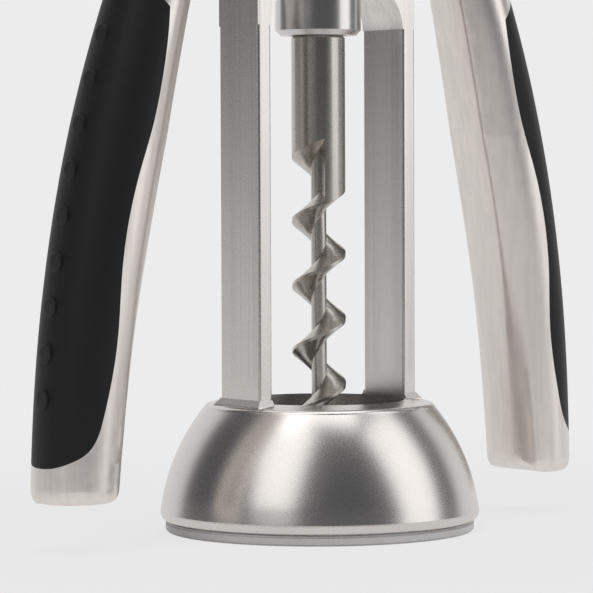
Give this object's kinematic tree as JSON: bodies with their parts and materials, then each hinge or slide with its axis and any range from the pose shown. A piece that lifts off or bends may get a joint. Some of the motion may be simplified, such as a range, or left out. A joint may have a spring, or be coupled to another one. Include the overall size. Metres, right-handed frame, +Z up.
{
  "type": "wing corkscrew",
  "caption": "Wing corkscrew: open bell on posts, geared levers with soft grips, toothed sleeve, worm and a turning key with a cap opener.",
  "frame": {"origin": "on the table under the middle of the bell", "axes": "+Z up along the worm, the levers swing in the XZ plane with the left lever on -X, the picture's camera stands on the -Y side and to the left"},
  "size_m": [0.1025, 0.05, 0.1882],
  "materials": {
    "satin_zinc": "satin cast zinc",
    "satin_sleeve": "satin turned steel",
    "worm_steel": "satin plated steel",
    "steel_pin": "plain steel",
    "grey_plastic": "matt moulded grey",
    "bush_plastic": "matt natural nylon",
    "washer_plastic": "matt black nylon",
    "black_rubber": "matt soft grip"
  },
  "bodies": {
    "frame": {"frame_casting": "satin_zinc", "bottle_guide": "grey_plastic", "head_bush": "grey_plastic", "left_pivot_pin": "steel_pin", "right_pivot_pin": "steel_pin", "left_pivot_washers": "washer_plastic", "right_pivot_washers": "washer_plastic"},
    "sleeve": {"rack_sleeve": "satin_sleeve", "lower_sleeve_bush": "bush_plastic", "upper_sleeve_bush": "bush_plastic"},
    "spindle": {"worm_spindle": "worm_steel", "thrust_washer": "washer_plastic", "turning_key": "satin_zinc", "key_pin": "steel_pin", "left_key_grip": "black_rubber", "right_key_grip": "black_rubber"},
    "left_lever": {"left_lever": "satin_zinc", "left_lever_bush": "bush_plastic", "left_grip": "black_rubber"},
    "right_lever": {"right_lever": "satin_zinc", "right_lever_bush": "bush_plastic", "right_grip": "black_rubber"}
  },
  "joints": [
    {"name": "left_lever_swing", "type": "hinge", "parent": "frame", "child": "left_lever", "pos_m": [-0.0175, 0, 0.12], "axis": [0, 1, 0], "range_deg": [0, 122]},
    {"name": "right_lever_swing", "type": "hinge", "parent": "frame", "child": "right_lever", "pos_m": [0.0175, 0, 0.12], "axis": [0, -1, 0], "range_deg": [0, 122]},
    {"name": "sleeve_slide", "type": "slide", "parent": "frame", "child": "sleeve", "axis": [0, 0, -1], "range_m": [0, 0.02556]},
    {"name": "spindle_turn", "type": "hinge", "parent": "sleeve", "child": "spindle", "pos_m": [0, 0, 0.08], "axis": [0, 0, 1], "continuous": true}
  ],
  "couplings": [
    {"joint": "right_lever_swing", "follows": "left_lever_swing", "ratio": 1},
    {"joint": "sleeve_slide", "follows": "left_lever_swing", "m_per_rad": 0.012}
  ]
}
